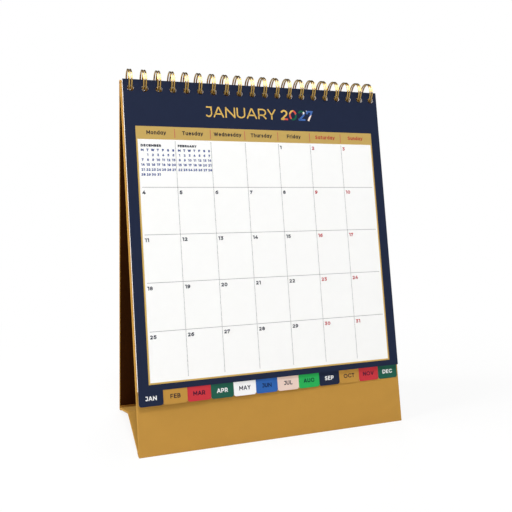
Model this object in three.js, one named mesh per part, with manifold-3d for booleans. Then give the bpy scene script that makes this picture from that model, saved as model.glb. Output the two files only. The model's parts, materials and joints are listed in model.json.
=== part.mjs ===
// Wire-bound desk calendar on a folding stand.
// Millimetres, +Z up. X runs along the wire, the months face -Y, the feet rest on Z = 0.

import * as THREE from 'three';
import { mergeVertices } from 'three/addons/utils/BufferGeometryUtils.js';
import Module from 'manifold-3d';

const wasm = await Module();
wasm.setup();

// Stand: a board strip wrapped in paper and scored into four panels
const standMargin = 1; // stand beyond the sheets on each side
const boardThickness = 1.4;
const panelLength = 218.5; // outer face, from the top fold's end to the foot
const standDepth = 86.6; // foot edge to foot edge on the table
const creaseHeight = 12; // middle of the base above the table
const spineGap = 1.16; // between the two panels' inner faces, level with the wire's axis
const spineDrop = 1.9; // wire's axis down to where the top fold ends
const spineThickness = 0.5;
const foldRun = 1.1; // base hinge to the first edge of the base board
const foldHeight = 1.05; // base hinge above the table
const foldInset = 0.85; // base hinge behind the panel's inner face
const creaseGap = 10.4; // between the two base boards, which swing past each other as the stand folds
const creaseThickness = 0.5;
const hingePaper = 0.3;
const hingePaperRun = 4.6;
const linerThickness = 0.2;
const linerInset = 0.4; // liner's side edges inside the board's
const linerDrop = 10; // wire's axis down to the liner's top edge
const linerFootGap = 5; // liner's lower edge above the foot

// Month sheets: twelve tabbed cards, January in front
const sheetWidth = 170;
const sheetHeight = 183;
const sheetThickness = 0.18;
const sheetDrop = 0.35; // wire's axis down to the sheets' top edge
const tabHeight = 8.5;
const tabCorner = 1.6;
const punchDiameter = 4;
const sheetPunchDrop = 5.4; // sheet's top edge to the hole's centre
const panelPunchDrop = 6.4; // wire's axis to the hole's centre in a panel
const punchSides = 8;

// Wire: twin loops at three to the inch, formed from one length
const loopPitch = 25.4 / 3;
const ringRadius = 6.7; // to the middle of the wire
const wireDiameter = 0.95;
const twinSpacing = 1.45; // between the two legs of a loop
const seamStep = 0.75; // the seam bars lie this far outside the ring, the loop tips inside
const seamSpread = THREE.MathUtils.degToRad(26); // turn over which a leg leaves the ring
const seamBend = 0.9; // bend from a leg into a seam bar
const wireSides = 5;
const legSteps = 14;
const tipSteps = 4;
const bendSteps = 3;

const clearance = 0.05; // between pieces that lie on each other
const sheetGap = 0.04; // between two sheets of the stack

const months = [
  ['january', 0x222a41], ['february', 0xc3954a], ['march', 0xcc3a46], ['april', 0x255c4c],
  ['may', 0xf6f6f4], ['june', 0x2f5eae], ['july', 0xe8cdbf], ['august', 0x2aae58],
  ['september', 0x222a41], ['october', 0xc3954a], ['november', 0xcc3a46], ['december', 0x255c4c],
];

const standWidth = sheetWidth + 2 * standMargin;
const loopCount = Math.floor(sheetWidth / loopPitch); // as many loops as the sheets have room for

// The stand's profile follows from its depth and its panel length
const faceOffset = spineGap / 2 + boardThickness; // wire's axis to a panel's outer face
const slopeLength = spineDrop + panelLength;
const lean = Math.asin(standDepth / 2 / Math.hypot(slopeLength, faceOffset))
  - Math.atan2(faceOffset, slopeLength);
const axisHeight = slopeLength * Math.cos(lean) - faceOffset * Math.sin(lean);

const wrapPaper = () => new THREE.MeshStandardMaterial({ color: 0xbe8f43, roughness: 0.7, metalness: 0 });
const linerPaper = () => new THREE.MeshStandardMaterial({ color: 0x3a2410, roughness: 0.85, metalness: 0 });
const wireMetal = () => new THREE.MeshStandardMaterial({ color: 0xc9a35a, roughness: 0.25, metalness: 1 });
const card = (color) => new THREE.MeshStandardMaterial({ color, roughness: 0.6, metalness: 0 });

// A closed mesh as a solid for cutting, and back
function solidOf(geometry) {
  const plain = geometry.clone();
  plain.deleteAttribute('normal');
  plain.deleteAttribute('uv');
  const merged = mergeVertices(plain, 1e-4);
  return new wasm.Manifold(new wasm.Mesh({
    numProp: 3,
    vertProperties: new Float32Array(merged.attributes.position.array),
    triVerts: new Uint32Array(merged.index.array),
  }));
}

function geometryOf(solid) {
  const mesh = solid.getMesh();
  const geometry = new THREE.BufferGeometry();
  geometry.setAttribute('position', new THREE.BufferAttribute(new Float32Array(mesh.vertProperties), 3));
  geometry.setIndex(new THREE.BufferAttribute(new Uint32Array(mesh.triVerts), 1));
  geometry.computeVertexNormals();
  return geometry;
}

// A profile in Y and Z, extruded along X about the middle
function alongX(points, width) {
  const shape = new THREE.Shape(points.map(([y, z]) => new THREE.Vector2(y, z)));
  const geometry = new THREE.ExtrudeGeometry(shape, { depth: width, bevelEnabled: false });
  geometry.translate(0, 0, -width / 2);
  geometry.applyMatrix4(new THREE.Matrix4().makeBasis(
    new THREE.Vector3(0, 1, 0), new THREE.Vector3(0, 0, 1), new THREE.Vector3(1, 0, 0),
  ));
  return geometry;
}

const loopX = (index) => (index - (loopCount - 1) / 2) * loopPitch;

function punchRow(drop) {
  return Array.from({ length: loopCount }, (_, index) => {
    const corners = Array.from({ length: punchSides }, (_, side) => {
      const turn = ((side + 0.5) / punchSides) * 2 * Math.PI;
      return new THREE.Vector2(
        loopX(index) + (punchDiameter / 2) * Math.cos(turn),
        -drop + (punchDiameter / 2) * Math.sin(turn),
      );
    });
    return new THREE.Path(corners);
  });
}

// A flat sheet or board in X and Z, from nearY to farY
function plate(shape, nearY, farY) {
  const geometry = new THREE.ExtrudeGeometry(shape, {
    depth: farY - nearY, bevelEnabled: false, curveSegments: 2,
  });
  geometry.rotateX(Math.PI / 2);
  geometry.translate(0, farY, 0);
  return geometry;
}

function rectangle(width, topDrop, bottomDrop) {
  const shape = new THREE.Shape();
  shape.moveTo(-width / 2, -topDrop);
  shape.lineTo(-width / 2, -bottomDrop);
  shape.lineTo(width / 2, -bottomDrop);
  shape.lineTo(width / 2, -topDrop);
  shape.closePath();
  return shape;
}

// Each panel hangs in a frame at the wire's axis: local -Z runs down the slope.
// side is -1 for the front panel and +1 for the back panel.
function panelFrame(side) {
  const frame = new THREE.Group();
  frame.position.z = axisHeight;
  frame.rotation.x = side * lean;
  return frame;
}

// Drop from the wire's axis to the table along a line at that offset from the axis
const dropToTable = (offset) => (axisHeight + offset * Math.sin(lean)) / Math.cos(lean);

function panelBoard(side) {
  const inner = spineGap / 2;
  const shape = rectangle(standWidth, spineDrop + clearance, dropToTable(faceOffset) + boardThickness);
  shape.holes.push(...punchRow(panelPunchDrop));
  const near = side < 0 ? -faceOffset : inner;
  const board = solidOf(plate(shape, near, near + boardThickness));

  // The foot is cut level, so that the stand rests on two flat strips
  const table = new THREE.BoxGeometry(2 * standWidth, 2 * standDepth, standDepth);
  table.translate(0, 0, -standDepth / 2 - axisHeight);
  table.rotateX(-side * lean);
  return new THREE.Mesh(geometryOf(board.subtract(solidOf(table))), wrapPaper());
}

function panelLiner(side) {
  const near = spineGap / 2 - clearance - linerThickness;
  const shape = rectangle(
    standWidth - 2 * linerInset, linerDrop, dropToTable(spineGap / 2) - linerFootGap,
  );
  const nearY = side < 0 ? -near - linerThickness : near;
  return new THREE.Mesh(plate(shape, nearY, nearY + linerThickness), linerPaper());
}

// Top fold: a thin band that turns round from one outer face to the other
function spineFold() {
  const centreHeight = axisHeight - spineDrop / Math.cos(lean);
  const outer = faceOffset + spineDrop * Math.tan(lean);
  const steps = 12;
  const arc = (radius, from, to) => Array.from({ length: steps + 1 }, (_, step) => {
    const turn = THREE.MathUtils.lerp(from, to, step / steps);
    return [radius * Math.cos(turn), centreHeight + radius * Math.sin(turn)];
  });
  const points = [
    ...arc(outer, lean, Math.PI - lean),
    ...arc(outer - spineThickness, Math.PI - lean, lean),
  ];
  return new THREE.Mesh(alongX(points, standWidth), wrapPaper());
}

// Base: two boards that rise from the feet to a crease in the middle
const innerFaceY = (height) => {
  const drop = (axisHeight - height + (spineGap / 2) * Math.sin(lean)) / Math.cos(lean);
  return -drop * Math.sin(lean) - (spineGap / 2) * Math.cos(lean);
};
const hingeY = innerFaceY(foldHeight) + foldInset;
const baseSlope = Math.atan2(creaseHeight - foldHeight, -hingeY);
const baseLength = Math.hypot(creaseHeight - foldHeight, hingeY);
const baseEnd = baseLength - creaseGap / 2 / Math.cos(baseSlope);

function baseBoard(side) {
  const length = baseEnd - foldRun;
  const geometry = new THREE.BoxGeometry(standWidth, length, boardThickness);
  geometry.translate(0, -side * (foldRun + length / 2), 0);
  const mesh = new THREE.Mesh(geometry, wrapPaper());
  mesh.position.set(0, -side * hingeY, foldHeight);
  mesh.rotation.x = -side * baseSlope;
  return mesh;
}

// Crease: a thin band between the base boards, level with their upper faces
function creaseFold() {
  const point = (along, up) => [
    hingeY + along * Math.cos(baseSlope) - up * Math.sin(baseSlope),
    foldHeight + along * Math.sin(baseSlope) + up * Math.cos(baseSlope),
  ];
  const top = boardThickness / 2;
  const start = baseEnd + clearance;
  const peak = (up) => [0, creaseHeight + up / Math.cos(baseSlope)];
  const left = [point(start, top - creaseThickness), point(start, top)];
  const right = left.map(([y, z]) => [-y, z]);
  const points = [
    left[0], peak(top - creaseThickness), right[0], right[1], peak(top), left[1],
  ];
  return new THREE.Mesh(alongX(points, standWidth), wrapPaper());
}

// Foot fold: the wrap paper that carries a base board to its panel
function footFold(side) {
  const low = clearance;
  const from = innerFaceY(low + hingePaper) + clearance;
  const to = from + hingePaperRun;
  const points = [[from, low], [to, low], [to, low + hingePaper], [from, low + hingePaper]];
  const across = points.map(([y, z]) => [-side * y, z]);
  return new THREE.Mesh(alongX(side < 0 ? across : across.reverse(), standWidth), wrapPaper());
}

// Month sheets: equal cards, each with its tab one place further right
function monthSheet(index) {
  const tabWidth = sheetWidth / months.length;
  const left = -sheetWidth / 2 + index * tabWidth;
  const right = left + tabWidth;
  const top = -sheetDrop;
  const bottom = top - sheetHeight;
  const tip = bottom - tabHeight;
  const shape = new THREE.Shape();
  shape.moveTo(-sheetWidth / 2, top);
  if (index > 0) shape.lineTo(-sheetWidth / 2, bottom);
  if (index > 0) shape.lineTo(left, bottom);
  shape.lineTo(left, tip + tabCorner);
  shape.absarc(left + tabCorner, tip + tabCorner, tabCorner, Math.PI, 1.5 * Math.PI, false);
  shape.lineTo(right - tabCorner, tip);
  shape.absarc(right - tabCorner, tip + tabCorner, tabCorner, 1.5 * Math.PI, 2 * Math.PI, false);
  if (index < months.length - 1) shape.lineTo(right, bottom);
  if (index < months.length - 1) shape.lineTo(sheetWidth / 2, bottom);
  shape.lineTo(sheetWidth / 2, top);
  shape.closePath();
  shape.holes.push(...punchRow(sheetDrop + sheetPunchDrop));

  const behind = months.length - 1 - index;
  const near = -faceOffset - clearance - behindStack(behind);
  return new THREE.Mesh(plate(shape, near - sheetThickness, near), card(months[index][1]));
}

// Depth of the sheets that lie between the panel and a sheet: december is nearest to it
const behindStack = (behind) => behind * (sheetThickness + sheetGap);

// Wire: the legs run round the ring from the seam bars to the loop tips.
// turn is measured from straight down the front panel, round by the back.
function wirePoint(x, turn) {
  const near = (distance) => THREE.MathUtils.smoothstep(1 - distance / seamSpread, 0, 1);
  const radius = ringRadius + seamStep * near(turn) - seamStep * near(2 * Math.PI - turn);
  return new THREE.Vector3(x, radius * Math.sin(turn), -radius * Math.cos(turn));
}

function wireLine() {
  const points = [];
  const barRadius = ringRadius + seamStep;
  const tipRadius = ringRadius - seamStep;
  const half = twinSpacing / 2;
  const legStart = seamBend / barRadius;
  const legEnd = 2 * Math.PI - half / tipRadius;
  const put = (x, turn) => points.push(wirePoint(x, turn));
  for (let index = 0; index < loopCount; index += 1) {
    const x = loopX(index);
    for (let step = 0; index > 0 && step < bendSteps; step += 1) {
      const bend = (step / bendSteps) * (Math.PI / 2);
      put(x - half - seamBend * (1 - Math.sin(bend)), legStart * (1 - Math.cos(bend)));
    }
    for (let step = 0; step <= legSteps; step += 1) {
      put(x - half, THREE.MathUtils.lerp(legStart, legEnd, step / legSteps));
    }
    for (let step = 1; step < tipSteps; step += 1) {
      const bend = (step / tipSteps) * Math.PI;
      put(x - half * Math.cos(bend), legEnd + (half / tipRadius) * Math.sin(bend));
    }
    for (let step = legSteps; step >= 0; step -= 1) {
      put(x + half, THREE.MathUtils.lerp(legStart, legEnd, step / legSteps));
    }
    for (let step = 1; index < loopCount - 1 && step <= bendSteps; step += 1) {
      const bend = (step / bendSteps) * (Math.PI / 2);
      put(x + half + seamBend * (1 - Math.cos(bend)), legStart * (1 - Math.sin(bend)));
    }
  }
  return points;
}

// Least distance between stretches of the wire that aren't neighbours, less its diameter
function leastGap(points) {
  const neighbours = 5;
  let least = Infinity;
  for (let one = 0; one < points.length; one += 1) {
    for (let other = one + neighbours; other < points.length; other += 1) {
      least = Math.min(least, points[one].distanceTo(points[other]));
    }
  }
  return least - wireDiameter;
}

// An unbroken tube along a line of points, with its section carried along without twist
function tubeAlong(points, radius, sides) {
  const positions = [];
  const indices = [];
  const tangent = (at) => new THREE.Vector3()
    .subVectors(points[Math.min(at + 1, points.length - 1)], points[Math.max(at - 1, 0)])
    .normalize();
  let normal = new THREE.Vector3(1, 0, 0);
  points.forEach((point, at) => {
    const along = tangent(at);
    normal = normal.clone().addScaledVector(along, -normal.dot(along)).normalize();
    const across = new THREE.Vector3().crossVectors(along, normal);
    for (let side = 0; side < sides; side += 1) {
      const turn = (side / sides) * 2 * Math.PI;
      const corner = point.clone()
        .addScaledVector(normal, radius * Math.cos(turn))
        .addScaledVector(across, radius * Math.sin(turn));
      positions.push(corner.x, corner.y, corner.z);
    }
  });
  for (let at = 0; at < points.length - 1; at += 1) {
    for (let side = 0; side < sides; side += 1) {
      const here = at * sides + side;
      const beside = at * sides + ((side + 1) % sides);
      indices.push(here, beside, here + sides, beside, beside + sides, here + sides);
    }
  }
  const last = (points.length - 1) * sides;
  for (let side = 1; side < sides - 1; side += 1) {
    indices.push(0, side + 1, side, last, last + side, last + side + 1);
  }
  const geometry = new THREE.BufferGeometry();
  geometry.setAttribute('position', new THREE.BufferAttribute(new Float32Array(positions), 3));
  geometry.setIndex(indices);
  geometry.computeVertexNormals();
  return geometry;
}

function twinLoopWire() {
  const line = wireLine();
  console.log(`least gap of the wire to itself: ${leastGap(line).toFixed(3)} mm`);
  return new THREE.Mesh(tubeAlong(line, wireDiameter / 2, wireSides), wireMetal());
}

function addTo(parent, name, mesh) {
  mesh.name = name;
  parent.add(mesh);
}

const calendar = new THREE.Group();
const front = panelFrame(-1);
const back = panelFrame(1);
calendar.add(front, back);

addTo(front, 'front_board', panelBoard(-1));
addTo(front, 'front_liner', panelLiner(-1));
addTo(back, 'back_board', panelBoard(1));
addTo(back, 'back_liner', panelLiner(1));
addTo(calendar, 'spine_fold', spineFold());
addTo(calendar, 'base_front_board', baseBoard(-1));
addTo(calendar, 'base_rear_board', baseBoard(1));
addTo(calendar, 'crease_fold', creaseFold());
addTo(calendar, 'front_foot_fold', footFold(-1));
addTo(calendar, 'rear_foot_fold', footFold(1));
addTo(front, 'twin_loop_wire', twinLoopWire());
months.forEach(([month], index) => {
  addTo(front, `sheet_${String(index + 1).padStart(2, '0')}_${month}`, monthSheet(index));
});

export default calendar;
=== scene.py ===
# %% [markdown]
# # A wire-bound desk calendar
#
# Twelve tabbed month cards hang on a row of twin-loop rings, and a folding board stand holds them up.
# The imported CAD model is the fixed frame: it says where each piece is and how it moves. This script gives
# every piece its finish, and builds finer ones where the CAD keeps a simple form.
# All lengths are in metres, Z is up, X runs along the wire and the cards face -Y.

# %% Load the frame
import math

import bmesh
import bpy
from mathutils import Matrix, Vector
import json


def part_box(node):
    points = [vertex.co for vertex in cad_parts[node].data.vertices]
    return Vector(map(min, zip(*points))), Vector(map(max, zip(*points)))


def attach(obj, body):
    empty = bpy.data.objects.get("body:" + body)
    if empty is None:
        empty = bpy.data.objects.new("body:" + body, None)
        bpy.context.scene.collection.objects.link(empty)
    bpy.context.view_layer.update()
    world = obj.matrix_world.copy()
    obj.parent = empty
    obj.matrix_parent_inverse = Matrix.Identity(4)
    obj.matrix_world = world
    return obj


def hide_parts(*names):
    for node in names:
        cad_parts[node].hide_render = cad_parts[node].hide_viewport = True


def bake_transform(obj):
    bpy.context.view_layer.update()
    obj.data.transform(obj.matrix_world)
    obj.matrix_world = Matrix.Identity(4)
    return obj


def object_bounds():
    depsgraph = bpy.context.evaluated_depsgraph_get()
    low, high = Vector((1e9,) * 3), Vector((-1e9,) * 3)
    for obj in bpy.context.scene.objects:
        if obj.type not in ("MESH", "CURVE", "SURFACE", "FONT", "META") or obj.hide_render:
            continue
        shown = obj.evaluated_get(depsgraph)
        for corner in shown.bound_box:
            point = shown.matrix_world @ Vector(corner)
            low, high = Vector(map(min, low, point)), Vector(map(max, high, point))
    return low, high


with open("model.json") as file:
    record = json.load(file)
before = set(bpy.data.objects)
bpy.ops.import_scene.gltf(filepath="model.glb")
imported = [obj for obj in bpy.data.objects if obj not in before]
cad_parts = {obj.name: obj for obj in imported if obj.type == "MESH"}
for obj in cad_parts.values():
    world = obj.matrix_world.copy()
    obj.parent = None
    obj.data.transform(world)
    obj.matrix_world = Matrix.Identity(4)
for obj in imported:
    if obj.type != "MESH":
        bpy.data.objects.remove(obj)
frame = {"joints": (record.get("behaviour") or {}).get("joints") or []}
cad_low, cad_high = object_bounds()
MM = 0.001
print("CAD size in mm:", [round(side / MM, 1) for side in cad_high - cad_low])

# %% [markdown]
# ## The measures that the pieces share
#
# The stand is an upside-down V. Each panel, and each card, is easiest to describe in a flat drawing that
# hangs from the wire's middle line: x along the wire, z up the slope, y through the board. One matrix then
# leans the drawing into place. Print and round holes are drawn flat on the floor's plane, so they are
# turned upright first. The wire's height and the stand's width are read from the frame.

# %% Measures
joints = {joint["name"]: joint for joint in frame["joints"]}
AXIS_HEIGHT = joints["turn_december"]["pos_m"][2]
board_low, board_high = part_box("front_board")
STAND_WIDTH = board_high.x - board_low.x
STAND_DEPTH = cad_high.y - cad_low.y
BOARD = 1.4 * MM
PANEL_LENGTH = 218.5 * MM
SPINE_GAP = 1.16 * MM
SPINE_DROP = 1.9 * MM
SPINE_PAPER = 0.5 * MM
FIT = 0.05 * MM

FACE_OFFSET = SPINE_GAP / 2 + BOARD
SLOPE = SPINE_DROP + PANEL_LENGTH
LEAN = math.asin(STAND_DEPTH / 2 / math.hypot(SLOPE, FACE_OFFSET)) - math.atan2(FACE_OFFSET, SLOPE)
FRONT, BACK = -1, 1
UPRIGHT = Matrix.Rotation(math.pi / 2, 4, "X")


def panel_place(side):
    """From the flat drawing of a panel to its place: the front one leans one way, the back one the other."""
    return Matrix.Translation((0, 0, AXIS_HEIGHT)) @ Matrix.Rotation(side * LEAN, 4, "X")


print("lean of the panels:", round(math.degrees(LEAN), 2), "degrees")

# %% [markdown]
# ## The camera
#
# The photograph was taken from the left and a little above the middle of the cards. The camera's place,
# turn and lens were found by fitting the stand's straight edges, whose real sizes are known, to the
# picture. The picture is square, so the sensor's width stands for both sides.

# %% Camera
CAMERA_PLACE = Vector((-135.8, -381.2, 148.6)) * MM
CAMERA_YAW = 0.3421
CAMERA_PITCH = 0.1002
CAMERA_ROLL = -0.0032
LENS_PER_FRAME = 616.4 / 512
SENSOR_MM = 36

ahead = Vector((
    math.sin(CAMERA_YAW) * math.cos(CAMERA_PITCH),
    math.cos(CAMERA_YAW) * math.cos(CAMERA_PITCH),
    -math.sin(CAMERA_PITCH),
))
level_right = ahead.cross(Vector((0, 0, 1))).normalized()
level_up = level_right.cross(ahead)
right = level_right * math.cos(CAMERA_ROLL) + level_up * math.sin(CAMERA_ROLL)
up = right.cross(ahead)

camera = bpy.data.objects.new("camera", bpy.data.cameras.new("camera"))
bpy.context.collection.objects.link(camera)
camera.data.sensor_width = SENSOR_MM
camera.data.lens = SENSOR_MM * LENS_PER_FRAME
camera.data.clip_start = 0.01
camera.matrix_world = Matrix.Translation(CAMERA_PLACE) @ Matrix((right, up, -ahead)).transposed().to_4x4()
bpy.context.scene.camera = camera
print("lens:", round(camera.data.lens, 1), "mm")

# %% [markdown]
# ## Helpers for materials
#
# Colours are written as hex values, as a colour picker shows them, and turned to the linear values that
# the shader works with. One function adds any node, with its settings and its links.

# %% Colour and node helpers
def linear(hex_colour):
    """An sRGB hex colour as linear red, green, blue and alpha."""
    channels = [int(hex_colour[at:at + 2], 16) / 255 for at in (1, 3, 5)]
    return [c / 12.92 if c <= 0.04045 else ((c + 0.055) / 1.055) ** 2.4 for c in channels] + [1]


def add_node(tree, kind, settings=None, inputs=None):
    """Adds a node. Each input is a plain value, or another node's output to link."""
    node = tree.nodes.new(kind)
    for name, value in (settings or {}).items():
        setattr(node, name, value)
    for name, value in (inputs or {}).items():
        if isinstance(value, bpy.types.NodeSocket):
            tree.links.new(value, node.inputs[name])
        else:
            node.inputs[name].default_value = value
    return node


def new_material(name):
    material = bpy.data.materials.new(name)
    material.use_nodes = True
    material.node_tree.nodes.clear()
    return material, material.node_tree


def finish_material(tree, shader):
    add_node(tree, "ShaderNodeOutputMaterial", inputs={"Surface": shader})


# %% [markdown]
# ## Paper and card
#
# Every flat surface here is paper. Paper is pressed from fibres, so its colour is a little cloudy at the
# scale of a few millimetres, and its surface has a fine tooth. The uncoated wrap of the stand has the
# coarser tooth, and the cards are smooth. None of them is coated, so all are nearly matt to the eye.
# The tooth of real paper is about 0.1 mm, too fine to show, so it is drawn a few times coarser.

# %% Paper material
PAPER_IOR = 1.45
PAPER_GLOSS = 0.06
CLOUD_SIZE = 14


def paper(name, colour, roughness, tooth, depth, cloud, fibre=1.0):
    """A paper surface. Tooth and depth are the size and the height of its grain, and cloud is the share by
    which its tone varies, over patches CLOUD_SIZE times as large as the tooth."""
    material, tree = new_material(name)
    place = add_node(tree, "ShaderNodeTexCoord").outputs["Object"]
    stretched = add_node(tree, "ShaderNodeMapping", inputs={"Vector": place, "Scale": (1, fibre, fibre)})
    grain = add_node(tree, "ShaderNodeTexNoise", inputs={
        "Vector": stretched.outputs["Vector"], "Scale": 1 / tooth, "Detail": 3, "Roughness": 0.6,
    })
    clouds = add_node(tree, "ShaderNodeTexNoise", inputs={
        "Vector": place, "Scale": 1 / (CLOUD_SIZE * tooth), "Detail": 2, "Roughness": 0.5,
    })
    both = add_node(tree, "ShaderNodeMath", {"operation": "ADD"}, {
        0: grain.outputs["Fac"], 1: clouds.outputs["Fac"],
    })
    tone = add_node(tree, "ShaderNodeMapRange", inputs={
        "Value": both.outputs["Value"], "From Min": 0.7, "From Max": 1.3,
        "To Min": 1 - cloud, "To Max": 1 + cloud,
    })
    shade = add_node(tree, "ShaderNodeVectorMath", {"operation": "SCALE"}, {
        0: linear(colour)[:3], "Scale": tone.outputs["Result"],
    })
    bump = add_node(tree, "ShaderNodeBump", inputs={
        "Height": grain.outputs["Fac"], "Distance": depth, "Strength": 0.6,
    })
    shader = add_node(tree, "ShaderNodeBsdfPrincipled", inputs={
        "Base Color": shade.outputs["Vector"], "Roughness": roughness, "IOR": PAPER_IOR,
        "Specular IOR Level": PAPER_GLOSS, "Normal": bump.outputs["Normal"],
    })
    finish_material(tree, shader.outputs["BSDF"])
    return material


wrap_paper = paper(
    "uncoated_wrap_paper", "#BE8F43", roughness=0.78, tooth=0.5 * MM, depth=0.05 * MM, cloud=0.02, fibre=1.6,
)
# The dark brown of the lining is painted shade: it stands for the shadow inside the stand.
painted_shade_sheet = paper(
    "painted_shade_liner_sheet", "#3A1C04", roughness=0.85, tooth=0.5 * MM, depth=0.04 * MM, cloud=0.10,
)
bare_card = paper("white_card", "#FAFAF9", roughness=0.6, tooth=0.4 * MM, depth=0.02 * MM, cloud=0.01)
print("papers:", wrap_paper.name, painted_shade_sheet.name, bare_card.name)

# %% [markdown]
# ## Ink on the cards
#
# The cards are offset printed: flat ink on smooth white card. Each month has its own flood colour, the
# dates and rules are drawn in navy, red and grey, and the band over the dates is a flat gold ink. Ink fills
# the tooth of the card, so it looks a little smoother than the bare card beside it.

# %% Inks
def ink(name, colour):
    return paper(name, colour, roughness=0.55, tooth=0.35 * MM, depth=0.008 * MM, cloud=0.02)


NAVY, OCHRE, RED, GREEN = "#222A41", "#BE8F43", "#C83942", "#265D4C"
WHITE, BLUE, BLUSH, LEAF = "#F6F6F7", "#3263AD", "#EAD0C3", "#2DAE58"
MONTHS = [
    ("january", 31, NAVY), ("february", 28, OCHRE), ("march", 31, RED), ("april", 30, GREEN),
    ("may", 31, WHITE), ("june", 30, BLUE), ("july", 31, BLUSH), ("august", 31, LEAF),
    ("september", 30, NAVY), ("october", 31, OCHRE), ("november", 30, RED), ("december", 31, GREEN),
]
flood_ink = {colour: ink(f"flood_ink_{colour[1:].lower()}", colour) for _, _, colour in MONTHS}
inks = {
    "frame": ink("gold_frame_ink", "#CDAA5C"),
    "band": ink("gold_band_ink", "#C4A55F"),
    "title": ink("gold_title_ink", "#DDB660"),
    "dark": ink("navy_text_ink", "#131A33"),
    "mid": ink("blue_text_ink", "#1F418A"),
    "red": ink("red_text_ink", "#B8323C"),
    "rule": ink("grey_rule_ink", "#88888C"),
    "divider": ink("rust_divider_ink", "#BF6F58"),
    "light": ink("white_text_ink", "#F7F7F7"),
    "stripe_green": ink("green_stripe_ink", "#1F6047"),
    "stripe_red": ink("red_stripe_ink", "#D8574F"),
    "stripe_blue": ink("blue_stripe_ink", "#466BB0"),
    "stripe_cream": ink("cream_stripe_ink", "#FBE6D8"),
}
INK_ORDER = list(inks)
print("inks:", len(flood_ink) + len(inks))

# %% [markdown]
# ## Gold-coloured binding wire
#
# The binding is steel wire with a pale gold coat. A metal shows almost only what it mirrors, so its look
# comes from a low roughness and from the bright and dark parts of the room. The coat is a little uneven
# along the wire, over a few millimetres at a time, and so is its gloss.

# %% Wire material
COAT_PATCH = 2.5 * MM
COAT_RELIEF = 0.02 * MM


def gold_wire():
    material, tree = new_material("gold_coated_steel_wire")
    place = add_node(tree, "ShaderNodeTexCoord").outputs["Object"]
    marks = add_node(tree, "ShaderNodeTexNoise", inputs={
        "Vector": place, "Scale": 1 / COAT_PATCH, "Detail": 1, "Roughness": 0.5,
    })
    gloss = add_node(tree, "ShaderNodeMapRange", inputs={
        "Value": marks.outputs["Fac"], "To Min": 0.24, "To Max": 0.32,
    })
    coat = add_node(tree, "ShaderNodeMix", {"data_type": "RGBA"}, {
        "Factor": marks.outputs["Fac"], "A": linear("#A3864C"), "B": linear("#B89858"),
    })
    bump = add_node(tree, "ShaderNodeBump", inputs={
        "Height": marks.outputs["Fac"], "Distance": COAT_RELIEF, "Strength": 0.3,
    })
    shader = add_node(tree, "ShaderNodeBsdfPrincipled", inputs={
        "Base Color": coat.outputs["Result"], "Metallic": 1, "Roughness": gloss.outputs["Result"],
        "Normal": bump.outputs["Normal"],
    })
    finish_material(tree, shader.outputs["BSDF"])
    return material


wire_gold = gold_wire()
print("wire:", wire_gold.name)

# %% [markdown]
# ## From a drawing to a piece
#
# Each piece is drawn with bmesh, placed, and then made an object whose own place is the origin. Its name
# says what it is, it rides on the body that carries it, and it stands for the CAD node of the same part.

# %% Piece helper
def piece(name, drawing, materials, place=None, rides=None, replaces=()):
    """Makes an object from a bmesh. It is left unridden where rides is None, as for a fold between two
    bodies.
    """
    if place:
        bmesh.ops.transform(drawing, matrix=place, verts=drawing.verts)
    mesh = bpy.data.meshes.new(name)
    drawing.to_mesh(mesh)
    drawing.free()
    for material in materials:
        mesh.materials.append(material)
    made = bpy.data.objects.new(name, mesh)
    bpy.context.collection.objects.link(made)
    if rides:
        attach(made, rides)
    if replaces:
        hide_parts(*replaces)
    return made


def slab(width, depth, height, centre):
    """A box of that size, as a drawing."""
    drawing = bmesh.new()
    bmesh.ops.create_cube(drawing, size=1)
    bmesh.ops.scale(drawing, vec=(width, depth, height), verts=drawing.verts)
    bmesh.ops.translate(drawing, vec=centre, verts=drawing.verts)
    return drawing


def soften(drawing, radius):
    """Rounds every edge of a box-like drawing."""
    bmesh.ops.bevel(
        drawing, geom=drawing.edges[:], affect="EDGES", offset=radius, segments=3, profile=0.5, material=-1,
    )
    bmesh.ops.recalc_face_normals(drawing, faces=drawing.faces)


def cut_along(drawing, place, direction, **options):
    """Cuts a drawing where a plane crosses it, and returns what lies on the cut."""
    everything = drawing.verts[:] + drawing.edges[:] + drawing.faces[:]
    return bmesh.ops.bisect_plane(
        drawing, geom=everything, dist=1e-7, plane_co=place, plane_no=direction, **options,
    )["geom_cut"]


def cut_off(drawing, place, direction):
    """Cuts away what lies beyond a plane, and closes the cut."""
    cut = cut_along(drawing, place, direction, clear_outer=True)
    rim = [part for part in cut if isinstance(part, bmesh.types.BMEdge)]
    bmesh.ops.edgeloop_fill(drawing, edges=rim)


def baked(thing):
    """The mesh that an object shows, with its modifiers or its round profile applied."""
    bpy.context.view_layer.update()
    return bpy.data.meshes.new_from_object(thing.evaluated_get(bpy.context.evaluated_depsgraph_get()))


# %% [markdown]
# ## The two panels of the stand
#
# Each panel is grey board wrapped in paper, so its edges are slightly round. It starts as a box that is
# too long, is leaned into place, and is cut level at the table, because the stand rests on its lower
# edges. The row of punched holes is cut with one set of cylinders: a boolean keeps them truly round.

# %% Panels
INCH = 25.4 * MM
LOOP_PITCH = INCH / 3
SHEET_WIDTH = STAND_WIDTH - 2 * MM
LOOP_COUNT = math.floor(SHEET_WIDTH / LOOP_PITCH)
LOOPS_X = [(index - (LOOP_COUNT - 1) / 2) * LOOP_PITCH for index in range(LOOP_COUNT)]
HOLE_RADIUS = 2 * MM
PANEL_HOLE_DROP = 6.4 * MM
PANEL_HOLE_SIDES = 32
CUTTER_LENGTH = 10 * MM
WRAP_ROUNDING = 0.3 * MM


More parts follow.
